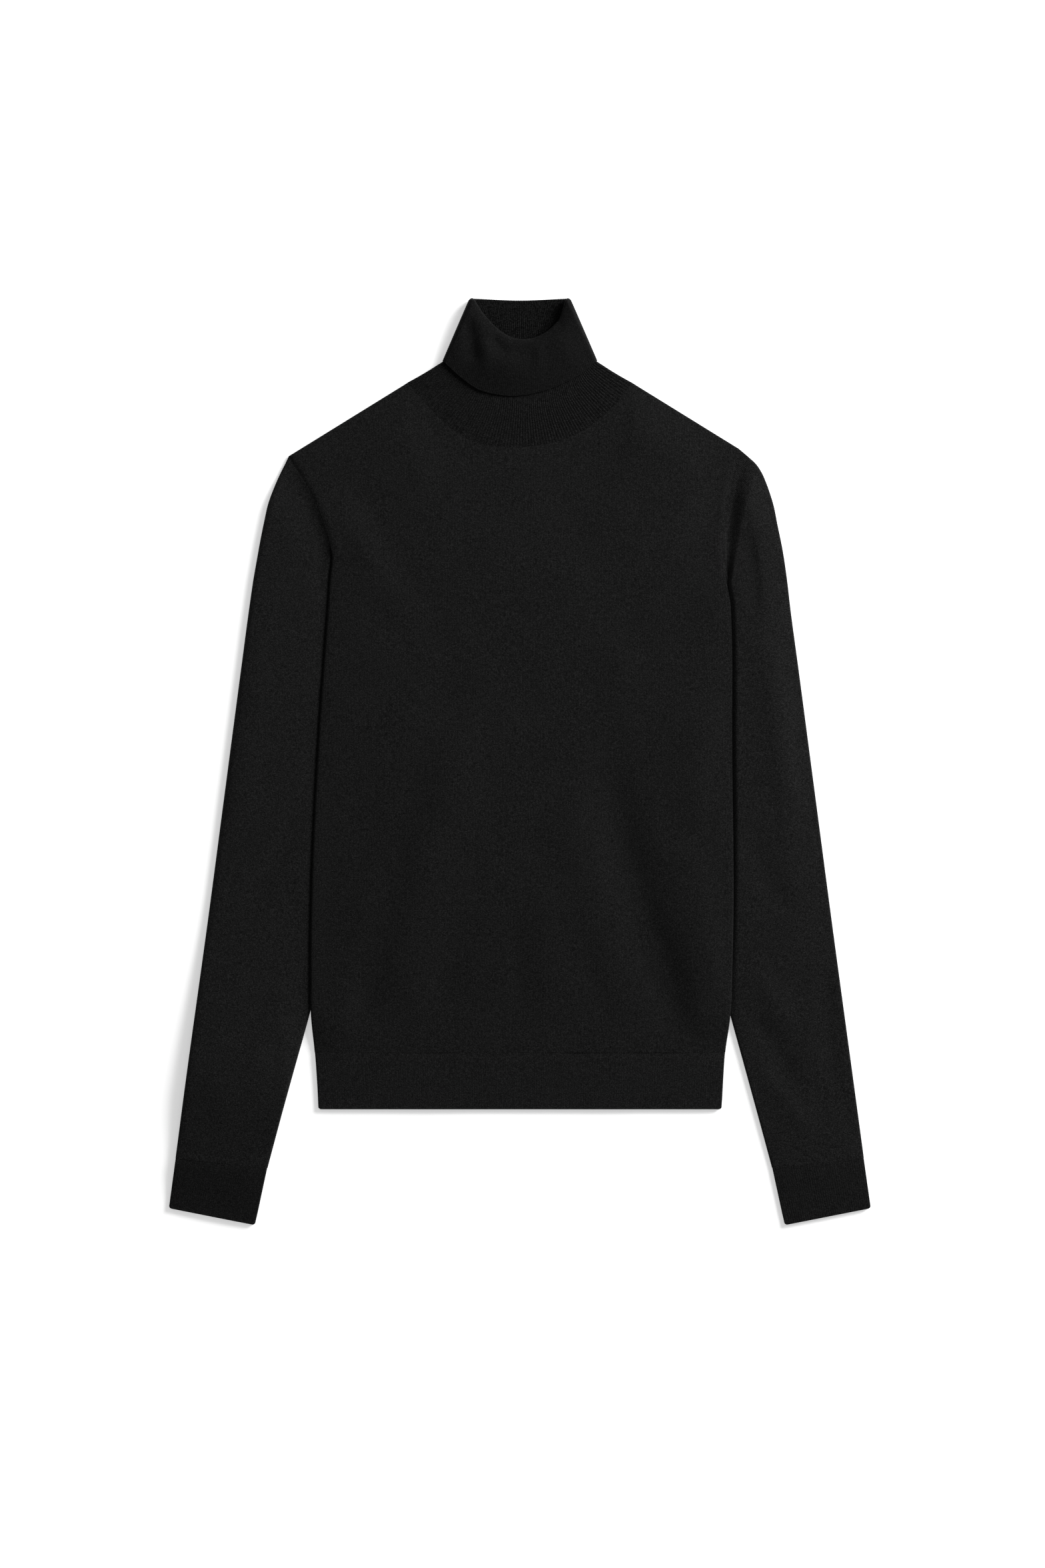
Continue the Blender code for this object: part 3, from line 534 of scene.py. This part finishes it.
def sleevePiece(side):
    tip = body["tip"][side]
    outerRows = sleeve["outer"][side] + sleeve["forearm"]
    outerAcross, outerAlong = np.array(outerRows[::-1]).T
    innerAcross, innerAlong = np.array(sleeve["inner"][::-1]).T
    outerCurve, innerCurve = curveThrough(outerAlong, outerAcross), curveThrough(innerAlong, innerAcross)
    sections = np.array(((tip[1], body["hiddenUnderarm"][1]),) + sleeve["sections"])
    index = np.linspace(0, len(sections) - 1, sleeve["rows"])
    outerY = curveThrough(np.arange(len(sections)), sections[:, 0])(index)
    innerY = curveThrough(np.arange(len(sections)), sections[:, 1])(index)
    outer = np.stack([side * outerCurve(outerY), outerY], -1)[:, None, :]
    inner = np.stack([side * innerCurve(innerY), innerY], -1)[:, None, :]
    width = np.linalg.norm(inner - outer, axis=-1)
    part, turn, face = tubePlaces(sleeve["acrossFront"], sleeve["acrossBack"]).T[:, None, :]
    edgeAir = sleeve["edgeAir"][side]
    radius = sleeve["wall"] + edgeAir / 2
    away = radius * (1 - np.cos(turn))
    at = (radius + part * (width - 2 * radius)) / width
    at = np.where(turn < math.pi / 2, np.where(part < 0.5, away, width - away) / width, at)

    seam, seamParts = seamLine(side)
    hiddenFrom = seamParts[sleeve["alongSeam"][0] - 1]
    onSeam = np.stack([np.interp(at, seamParts, seam[:, k]) for k in (0, 1)], -1)
    straight = outer[0] + at[..., None] * (inner[0] - outer[0])
    pull = np.maximum(0, 1 - np.linalg.norm(outer - outer[0], axis=-1) / sleeve["seamPull"]) ** 1.5
    flat = outer + at[..., None] * (inner - outer) + pull[..., None] * (onSeam - straight)
    x, y = flat[..., 0], flat[..., 1]

    # air between the layers: pressed under the body, full where the sleeve lies free
    showing = side * (x - bodyEdge(side, y))
    fromEdge = np.minimum(at, 1 - at) * width
    crown = 1 - (1 - np.clip(at * width / sleeve["fills"][side], 0, 1)) ** 1.35
    crown = crown * (1 - np.exp(-(1 - at) * width / 9))
    fullness = sleeve["air"][side] * (1 - sleeve["thins"][side] * eased((40 - outerY[:, None]) / 340))
    free = edgeAir + (fullness - edgeAir) * crown
    free = free - sleeve["sag"][side] * crown * np.exp(-np.maximum(showing, 0) / 35)
    # the last stretch thins down to the cuff
    toCuff = np.linalg.norm(outer - outer[-1], axis=-1)
    atCuff = bandAir(fromEdge) + 0.1
    free = free + (atCuff - free) * (1 - eased(toCuff / 70))
    risen = eased((showing + sleeve["rises"][0]) / sleeve["rises"][1])
    air = sleeve["pressedAir"] + (free - sleeve["pressedAir"]) * risen
    uneven = creases(x, y, sleeveStrokes[side]) + handSmoothed(x, y, 23 + side, 0.25)
    uneven *= eased(showing / 14) * eased(fromEdge / 12) * eased(toCuff / 20)

    # the seam keeps the sleeve's edge level with the body's, then it drops into a valley beside it
    fromSeam = np.linalg.norm(flat - onSeam, axis=-1)
    seamY = onSeam[..., 1]
    nearSeam = 1 - eased((fromSeam - 0.5) / sleeve["levelBeside"][side])
    joined = nearSeam * eased((seamY - body["underarm"][side][1] - 3) / 18)
    joined = np.where(at < hiddenFrom, joined, 0)
    rise = liftAt(onSeam[..., 0], seamY) * joined
    # beside the seam the sleeve lies a little lower than the body, then comes up to its own fullness
    beside = eased((hiddenFrom + 0.02 - at) * 18) * (1 - eased(fromSeam / sleeve["recovers"][side]))
    seamTop = liftAt(onSeam[..., 0], seamY) + 2 * sleeve["wall"] + body["edgeAir"]
    falls = 1 - np.exp(-fromSeam / 5)
    deeper = 0.4 + 0.6 * eased((tip[1] - seamY) / 100)  # towards the underarm
    lower = seamTop - sleeve["drop"][side] * falls * deeper - rise - 2 * sleeve["wall"]
    air = np.maximum(air + (lower - air) * beside, 0.5)
    uneven *= eased(fromSeam / 10)
    dip = seamDip(fromSeam, 0.35) * (joined > 0)
    share = sleeve["cuffShare"] + (1 - sleeve["cuffShare"]) * eased(toCuff / 75)
    share = share * (1 - eased((toCuff - 75) / 190)) * eased((showing - 2) / 30)
    rise = rise + sleeve["endRaised"][side] * share
    half = sleeve["wall"] + air / 2
    level = np.sin(turn)
    z = rise + half + np.where(face > 0, level * (half + uneven - dip), -level * half)

    # wales run beside the outer fold, courses square to them
    down = np.concatenate([[0], np.cumsum(np.linalg.norm(np.diff(outer[:, 0], axis=0), axis=1))])[:, None]
    across = at * width * face
    stitches = np.stack([across / jerseyLook["wale"], (-down + 0 * across) / jerseyLook["course"]], -1)
    stitches = np.concatenate([stitches, stitches[:, :1]], 1)
    grid = np.stack([x, y, z], -1)
    if side < 0:
        grid, stitches = grid[:, ::-1], stitches[:, ::-1]
    piece = clothPiece("sleeve" + sideWords[side], grid, stitches, sleeve["wall"], litSleeveJersey, around=True)
    finishCloth(piece, "sleeve_" + sideWords[side].lower(), sleeve["cut"],
                gridArea(grid, around=True))


# Cuffs and hem band: 1x1 rib, a wave of ridges round a flat tube
ribBand = {
    "wall": 1.35, "air": 2.25, "edgeAir": 0.9, "pitch": 2.1, "height": 0.1, "pointsPerRib": 4,
    "corner": 3.0,  # the free edge's corners are a little round
}
cuff = {
    "cut": (0.175, 0.055), "rows": 22,
    "seam": ((322.55, -371.3), (236.3, -380.3)), "end": ((329.2, -418.2), (248.0, -434.2)),
}
hemBand = {"cut": (0.775, 0.0535), "rows": 24}


# The air inside a band this far from its side folds
def bandAir(fromEdge, thins=1.0):
    return ribBand["edgeAir"] + (ribBand["air"] - ribBand["edgeAir"]) * (1 - np.exp(-fromEdge / 14)) * thins


# A band from its seam (starts) to its free edge (ends), with a whole number of ribs on each face
def bandPiece(name, node, starts, ends, bulge, sizes, material, raised):
    rows = sizes["rows"]
    down = (np.linspace(0, 1, rows) ** 0.9)[:, None]
    length = np.linalg.norm(ends[0] - starts[0])
    first = starts[0] + down * (ends[0] - starts[0]) + bulge(down, -1)
    last = starts[1] + down * (ends[1] - starts[1]) + bulge(down, 1)
    width = np.linalg.norm(last - first, axis=1)[:, None]
    ribs = round(float(width[0, 0]) / ribBand["pitch"])
    count = ribs * ribBand["pointsPerRib"]
    step = (np.arange(count) + 0.5) / count
    part = np.concatenate([step, step[::-1]])[None, :]
    face = np.concatenate([np.ones(count), -np.ones(count)])[None, :]
    fromEdge = np.minimum(part, 1 - part) * width
    half = ribBand["wall"] + bandAir(fromEdge, 1 - 0.6 * eased(down)) / 2
    level = np.sqrt(1 - (1 - np.clip(fromEdge / half, 0, 1)) ** 2)
    corner = ribBand["corner"]
    roundOff = corner * (1 - np.sqrt(1 - (1 - np.clip(fromEdge / corner, 0, 1)) ** 2)) * eased(down * 4 - 3)
    downHere = down * length - roundOff
    number = np.arange(2 * count)[None, :] / ribBand["pointsPerRib"]
    wave = np.sin(number * 2 * math.pi) * ribBand["height"] * eased(down * rows / 3)
    wave = wave * (0.7 + 0.6 * np.sin(number * 0.37 + down * 5) * np.sin(number * 0.13 + 1))
    back = -(ends[0] - starts[0]) / length
    x = first[:, :1] + part * (last - first)[:, :1] + back[0] * roundOff
    y = first[:, 1:] + part * (last - first)[:, 1:] + back[1] * roundOff
    uneven = handSmoothed(x, y, 5, 0.14) * eased(fromEdge / 10)
    dip = seamDip(down * length, 0.05, 0.12, 6, 4)
    z = half + np.where(face > 0, level * (half + uneven - dip), -level * (half - 0.05)) + wave
    z = np.maximum(z, 0.02) + raised * (1 - eased(down))
    grid = np.stack([x, y, z], -1)
    stitches = np.stack([number + 0.25 + 0 * z, -downHere / ribLook["course"]], -1)
    stitches = np.concatenate([stitches, stitches[:, -1:] + np.array((1 / ribBand["pointsPerRib"], 0))], 1)
    if np.cross(last[0] - first[0], ends[0] - starts[0]) < 0:
        grid, stitches = grid[:, ::-1], stitches[:, ::-1]
    piece = clothPiece(name, grid, stitches, ribBand["wall"], material, around=True)
    finishCloth(piece, node, sizes["cut"], gridArea(grid, around=True))


# The cuffs' sides are straight
def noBulge(down, end):
    return 0 * down


# The hem band's sides follow the body's edge curve rather than a straight line
def hemBulge(down, end):
    y = hemStart + down[:, 0] * (body["hemEnd"] - hemStart)
    straight = hemSides[end][0] + down[:, 0] * (hemSides[end][1] - hemSides[end][0])
    return np.stack([bodyEdge(end, y) - straight, 0 * y], -1)


for side in (-1, 1):
    sleevePiece(side)
cuffRaised = {side: sleeve["cuffShare"] * sleeve["endRaised"][side] for side in (-1, 1)}
for side in (-1, 1):
    starts, ends = [np.array(cuff[end]) * (side, 1) for end in ("seam", "end")]
    bandPiece("cuff" + sideWords[side], "cuff_" + sideWords[side].lower(), starts, ends, noBulge, cuff,
              shadedCuffRib, cuffRaised[side])
hemStart = body["hemSeam"] - body["seamGap"]
hemSides = {end: (float(bodyEdge(end, hemStart)), float(bodyEdge(end, body["hemEnd"]))) for end in (-1, 1)}
bandPiece("hemBand", "hem_band",
          [np.array((hemSides[end][0], hemStart)) for end in (-1, 1)],
          [np.array((hemSides[end][1], body["hemEnd"])) for end in (-1, 1)],
          hemBulge, hemBand, rib, 0.0)


# The collar: one rib tube, up the stand, over the rolled lip and down to its free edge
collar = {
    "cut": (0.470, 0.165), "wall": 1.45, "frontRibs": 88, "backRibs": 56, "pointsPerRib": 5,
    "standRows": 17, "rollRows": 8, "turnedRows": 17,
    # part of the stand's height, half width, height of its sides, levels of the front and back walls
    "stand": ((0, 105.2, 354.75, 4.25, 0.8), (0.16, 91.1, 362.6, 4.5, 1.7), (0.3, 79.1, 370.0, 4.7, 2.9),
              (0.42, 69.0, 377.1, 5.0, 2.9), (0.55, 62.6, 388, 5.4, 2.9), (0.7, 56.6, 402, 6.0, 2.9),
              (0.86, 50.6, 417, 6.6, 2.9), (1, 44.4, 432.2, 7.2, 2.9)),
    "frontLip": ((-1, 434.2), (-0.86, 424), (-0.68, 414), (-0.46, 404.6), (-0.21, 397.8), (0.07, 395.4),
                 (0.29, 396.4), (0.53, 401.2), (0.73, 408.5), (0.88, 417), (1, 434.2)),
    "backLip": ((-1, 434.2), (0, 432.4), (1, 434.2)),
    "frontEdge": ((-1, 375), (-0.73, 357.6), (-0.55, 348.8), (-0.34, 344.4), (-0.12, 342.5), (0.05, 343.2),
                  (0.36, 348.4), (0.57, 354.4), (0.77, 362), (1, 375.4)),
    "backEdge": ((-1, 375.2), (0, 371), (1, 375.2)),
    "frontRoll": 2.0, "backRoll": 1.05, "turnedHalf": 72.0,
    "edgeLevels": (6.8, 0.8),  # of the free edge, in front and behind
    "standsOff": 0.8,  # the left of the free edge stands this much off the stand, the right lies on it
    "puff": 1.7, "crown": 2.4, "crownAt": 18.0,  # the turned-down front's fullness, and where it is fullest
    "standRib": 0.18, "turnedRib": 0.03,  # the rib wave's height
}
# The soft hollows in the turned-down front, and the fuller places between them
collarStrokes = (
    dict(line=((-49, 416), (-45, 398), (-41, 370)), reach=(6, 8), height=-2.3, ends=0.3),
    dict(line=((-26, 400), (-20, 390), (-10, 378)), reach=(6, 7), height=-2.0, ends=0.3),
    dict(line=((-12, 388), (2, 380), (18, 378)), reach=(11, 10), height=-1.6),
    dict(line=((-34, 396), (-31, 378), (-30, 362)), reach=(6, 6), height=0.7),
    dict(line=((36, 404), (42, 386), (46, 368)), reach=(8, 10), height=0.6),
    dict(line=((24, 394), (26, 378), (24, 360)), reach=(7, 7), height=-0.4),
    dict(line=((-58, 392), (-60, 380), (-62, 372)), reach=(6, 6), height=0.5),
)


# One ring of the collar's middle surface with its columns evenly spaced along the cloth
def collarRing(halfWidth, frontCurve, backCurve, frontLevel, backLevel):
    fold = (frontLevel - backLevel) / 2
    middle = (frontLevel + backLevel) / 2
    points, angles = [], []
    for curve, ribs, sign in ((frontCurve, collar["frontRibs"], 1), (backCurve, collar["backRibs"], -1)):
        x = np.linspace(-1, 1, 801)
        y = curve(x)
        lengths = np.concatenate([[0], np.cumsum(np.hypot(np.diff(x * halfWidth), np.diff(y)))])
        count = ribs * collar["pointsPerRib"]
        at = (np.arange(count) + 0.5) / count * lengths[-1]
        across, along = np.interp(at, lengths, x * halfWidth), np.interp(at, lengths, y)
        curl = np.sqrt(1 - (1 - np.clip(np.minimum(at, lengths[-1] - at) / fold, 0, 1)) ** 2)
        ring = np.stack([across, along, middle + sign * fold * curl], -1)
        angle = np.stack([np.sign(across) * np.sqrt(1 - curl ** 2), sign * curl], -1)
        points.append(ring[::sign])
        angles.append(angle[::sign])
    return np.concatenate(points), np.concatenate(angles)


def collarPiece():
    heights, *columns = np.array(collar["stand"]).T
    halfWidth, sideAlong, frontLevel, backLevel = [curveThrough(heights, column) for column in columns]
    lips, edges = [{face: curveThrough(*np.array(collar[word + line]).T)
                    for face, word in ((1, "front"), (-1, "back"))} for line in ("Lip", "Edge")]
    necks = {1: frontNeck, -1: backNeck}
    baseHalf = columns[0][0]
    rings, amounts = [], []
    for part in np.linspace(0, 1, collar["standRows"]):
        def standCurve(face, part=part):
            roll = collar["frontRoll"] if face > 0 else collar["backRoll"]

            def read(across):
                base = necks[face](across * baseHalf) - necks[face](baseHalf)
                top = lips[face](across) - lips[face](1.0)
                return sideAlong(part) + base * (1 - part) + (top - roll + collar["backRoll"]) * part
            return read
        ring, angle = collarRing(halfWidth(part), standCurve(1), standCurve(-1), frontLevel(part),
                                 backLevel(part))
        rings.append(ring)
        amounts.append(collar["standRib"] * float(eased(part * 6 + 0.3)))
        # where it leaves the body the cloth runs on at the body's own level
        meets = topOfBody(ring[:, 0], ring[:, 1]) - collar["wall"] / 2 - frontLevel(0)
        ring[:, 2] += meets * np.maximum(0, angle[:, 1]) * (1 - eased(part / 0.3))
    top = rings[-1]
    upward = (top - rings[-2]) * (1, 1, 0)
    upward /= np.linalg.norm(upward, axis=1)[:, None]
    outward = np.stack([angle[:, 0], 0 * angle[:, 0], angle[:, 1]], -1)
    radii = (collar["backRoll"] + (collar["frontRoll"] - collar["backRoll"]) * (1 + angle[:, 1:]) / 2)
    for step in range(1, collar["rollRows"] + 1):
        turn = math.pi * step / collar["rollRows"]
        rings.append(top + radii * (outward * (1 - math.cos(turn)) + upward * math.sin(turn)))
        amounts.append(collar["standRib"] * (1 - turn / math.pi) + collar["turnedRib"] * turn / math.pi)
    rolled = rings[-1]
    freeEdge, angle = collarRing(collar["turnedHalf"], edges[1], edges[-1], *collar["edgeLevels"])
    front = np.maximum(0, angle[:, 1])
    standsOff = collar["standsOff"] * eased((10 - freeEdge[:, 0]) / 60) * front
    for part in np.linspace(0, 1, collar["turnedRows"] + 1)[1:]:
        ring = rolled + part * (freeEdge - rolled)
        aside = np.clip((ring[:, 0] - collar["crownAt"]) / (collar["turnedHalf"] + collar["crownAt"]), -1, 1)
        full = collar["puff"] + collar["crown"] * (1 - aside ** 2)
        ring[:, 2] += full * math.sin(math.pi * part ** 0.8) * front + standsOff * part ** 2
        fade = eased(part / 0.15) * eased((1 - part) / 0.12 + 0.2)
        ring[:, 2] += creases(ring[:, 0], ring[:, 1], collarStrokes) * front * fade
        ring[:, 2] += handSmoothed(ring[:, 0], ring[:, 1], 3, 0.12) * front * fade
        rings.append(ring)
        amounts.append(collar["turnedRib"] * (1 + 0.8 * part))
    grid = np.stack(rings)

    # the rib wave stands square to the cloth: a ridge on one face is a groove on the other
    along = np.gradient(grid, axis=0)
    around = np.roll(grid, -1, axis=1) - np.roll(grid, 1, axis=1)
    normal = np.cross(around, along)
    normal /= np.linalg.norm(normal, axis=2)[..., None]
    number = np.arange(grid.shape[1])[None, :] / collar["pointsPerRib"]
    wave = np.sin(number * 2 * math.pi) * np.array(amounts)[:, None]
    grid = grid + normal * wave[..., None]
    grid[..., 2] = np.maximum(grid[..., 2], collar["wall"] / 2 + 0.02)
    down = np.concatenate([[0], np.cumsum(np.linalg.norm(np.diff(grid, axis=0), axis=2).mean(1))])[:, None]
    stitches = np.stack([number + 0.25 + 0 * down, down / ribLook["course"] + 0 * number], -1)
    stitches = np.concatenate([stitches, stitches[:, -1:] + np.array((1 / collar["pointsPerRib"], 0))], 1)
    piece = clothPiece("collar", grid, stitches, collar["wall"], shadedCollarRib, around=True, offset=0.0)
    piece.data.materials.append(brushed)  # slot 1
    # slot 2 is the collar's inside: its darker yarn and grooves are painted shade
    piece.data.materials.append(shadedInsideRib)  # slot 2
    lip = down[collar["standRows"] + collar["rollRows"] // 2, 0] / ribLook["course"]
    places = piece.data.uv_layers["stitches"].data
    outerFaces = (grid.shape[0] - 1) * grid.shape[1]
    for face in piece.data.polygons:
        if face.index >= outerFaces:  # the wall's inner face: its grooves lie between the outer ones
            face.material_index = 1 if places[face.loop_start].uv[1] > lip else 2
            for k in face.loop_indices:
                places[k].uv[0] += 0.5
    finishCloth(piece, "collar", collar["cut"], gridArea(grid, around=True))


collarPiece()


# Linking: the chain of loops that joins rib to jersey, made by one node tree from a seam line
links = {"length": 2.3, "neckLength": 2.2, "width": 1.3, "yarn": 0.22, "sunk": 0.4}  # sunk into the cloth


def linkTree():
    tree = bpy.data.node_groups.new("linkingChain", "GeometryNodeTree")
    face = tree.interface
    face.new_socket("Geometry", in_out="INPUT", socket_type="NodeSocketGeometry")
    for word, key in (("Stitch length", "length"), ("Loop width", "width"), ("Yarn radius", "yarn")):
        face.new_socket(word, in_out="INPUT", socket_type="NodeSocketFloat").default_value = links[key] * mm
    face.new_socket("Geometry", in_out="OUTPUT", socket_type="NodeSocketGeometry")
    given = addNode(tree, "NodeGroupInput")
    line = addNode(tree, "GeometryNodeMeshToCurve", {"Mesh": given.outputs["Geometry"]})
    points = addNode(tree, "GeometryNodeResampleCurve",
                     {"Curve": line.outputs[0], "Length": given.outputs["Stitch length"]}, mode="LENGTH")
    circle = addNode(tree, "GeometryNodeCurvePrimitiveCircle", {"Resolution": 10, "Radius": 1.0})
    size = addNode(tree, "ShaderNodeCombineXYZ", {
        0: maths(tree, "MULTIPLY", given.outputs["Stitch length"], 0.62),  # each loop reaches into the next
        1: maths(tree, "MULTIPLY", given.outputs["Loop width"], 0.5), 2: 1.0})
    # each loop leans a little, so that its end dives under the next
    loop = addNode(tree, "GeometryNodeTransform", {"Geometry": circle.outputs[0], "Scale": size.outputs[0]})
    lean = addNode(tree, "GeometryNodeTransform", {"Geometry": loop.outputs[0],
                                                   "Rotation": (0.0, math.radians(11), 0.0)})
    profile = addNode(tree, "GeometryNodeCurvePrimitiveCircle",
                      {"Resolution": 5, "Radius": given.outputs["Yarn radius"]})
    yarn = addNode(tree, "GeometryNodeCurveToMesh", {"Curve": lean.outputs[0],
                                                     "Profile Curve": profile.outputs[0]})
    tangent = addNode(tree, "GeometryNodeInputTangent")
    turned = addNode(tree, "FunctionNodeAlignRotationToVector", {"Vector": tangent.outputs[0]},
                     axis="X", pivot_axis="Z")
    copies = addNode(tree, "GeometryNodeInstanceOnPoints", {
        "Points": points.outputs[0], "Instance": yarn.outputs[0], "Rotation": turned.outputs[0]})
    real = addNode(tree, "GeometryNodeRealizeInstances", {0: copies.outputs[0]})
    smooth = addNode(tree, "GeometryNodeSetShadeSmooth", {0: real.outputs[0]})
    coloured = addNode(tree, "GeometryNodeSetMaterial", {"Geometry": smooth.outputs[0],
                                                         "Material": linking})
    result = addNode(tree, "NodeGroupOutput")
    tree.links.new(coloured.outputs[0], result.inputs[0])
    return tree


chainTree = linkTree()


# One chain along a line of points
def chain(name, points, length):
    mesh = bpy.data.meshes.new(name)
    mesh.from_pydata((np.array(points) * mm).tolist(), [(k, k + 1) for k in range(len(points) - 1)], [])
    piece = addObject(name, mesh)
    nodes = piece.modifiers.new("chain", "NODES")
    nodes.node_group = chainTree
    values = {"Stitch length": length * mm, "Loop width": links["width"] * mm,
              "Yarn radius": links["yarn"] * mm}
    for item in chainTree.interface.items_tree:
        if item.name in values:
            nodes[item.identifier] = values[item.name]
    applied(piece)
    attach(piece, "root")
    print(name, len(piece.data.polygons), "faces")


neckX = np.linspace(-101, 101, 240)
neckY = frontNeck(neckX)
chain("neckLinking", np.stack([neckX, neckY, topOfBody(neckX, neckY) - links["sunk"]], -1),
      links["neckLength"])
hemX = np.linspace(bodyEdge(-1, body["hemSeam"]) + 6, bodyEdge(1, body["hemSeam"]) - 6, 300)
hemY = np.full_like(hemX, body["hemSeam"])
chain("hemLinking", np.stack([hemX, hemY, topOfBody(hemX, hemY) - links["sunk"]], -1), links["length"])
for side in (-1, 1):
    outerEnd, innerEnd = np.array(cuff["seam"]) * (side, 1)
    part = np.linspace(0.07, 0.93, 80)[:, None]
    line = outerEnd + part * (innerEnd - outerEnd)
    fromEdge = np.minimum(part, 1 - part) * np.linalg.norm(innerEnd - outerEnd)
    top = 2 * ribBand["wall"] + bandAir(fromEdge) + cuffRaised[side]
    chain("cuffLinking" + sideWords[side], np.concatenate([line, top - links["sunk"]], 1), links["length"])


# Table, light and camera, in metres and watts
studio = {
    "tableHalf": 15.0, "tableLevel": -0.0003, "paper": "#e1e1e1", "glow": 0.42,
    "keyWatts": 324.0, "keySize": 2.0, "keyFrom": (2.85, 1.95, 1.6), "dome": 0.36,
}
view = {"height": 4.0, "centre": (0.0025, -0.0209), "seen": 1.47}  # seen: metres from top to bottom

half = studio["tableHalf"]
corners = [(x * half, y * half, studio["tableLevel"]) for x, y in ((-1, -1), (1, -1), (1, 1), (-1, 1))]
table = bpy.data.meshes.new("floor")
table.from_pydata(corners, [], [(0, 1, 2, 3)])
floor = addObject("floor", table)
# matt white paper: an even white, lit a little from below so that shadows stay soft
paper = bpy.data.materials.new("whitePaper")
paper.use_nodes = True
paperShader = paper.node_tree.nodes["Principled BSDF"]
paperShader.inputs["Base Color"].default_value = linearColour(studio["paper"])
paperShader.inputs["Emission Color"].default_value = linearColour("#ffffff")
paperShader.inputs["Emission Strength"].default_value = studio["glow"]
paperShader.inputs["Specular IOR Level"].default_value = 0.1
spot = addNode(paper.node_tree, "ShaderNodeTexCoord").outputs["Object"]
tooth = addNode(paper.node_tree, "ShaderNodeTexNoise", {"Vector": spot, "Scale": 900.0, "Detail": 3.0})
toothRough = maths(paper.node_tree, "ADD", maths(paper.node_tree, "MULTIPLY", tooth.outputs[0], 0.15), 0.8)
paper.node_tree.links.new(toothRough, paperShader.inputs["Roughness"])
table.materials.append(paper)
print("table laid,", 2 * half, "m wide")

world = bpy.data.worlds.new("studio")
bpy.context.scene.world = world
world.use_nodes = True
world.node_tree.nodes["Background"].inputs["Color"].default_value = (1, 1, 1, 1)
world.node_tree.nodes["Background"].inputs["Strength"].default_value = studio["dome"]

key = bpy.data.lights.new("keyLight", "AREA")
key.energy, key.size = studio["keyWatts"], studio["keySize"]
keyObject = addObject("keyLight", key)
keyObject.location = studio["keyFrom"]
keyObject.rotation_euler = mathutils.Vector(studio["keyFrom"]).to_track_quat("Z", "Y").to_euler()
print("key light and dome set")

lens = bpy.data.cameras.new("camera")
lens.sensor_fit, lens.sensor_height = "VERTICAL", 36.0
lens.lens = lens.sensor_height * view["height"] / view["seen"]
lens.clip_end = 50
cameraObject = addObject("camera", lens)
cameraObject.location = (*view["centre"], view["height"])
bpy.context.scene.camera = cameraObject
bpy.context.scene.view_settings.view_transform = "Standard"
print("camera", view["height"], "m above the table")
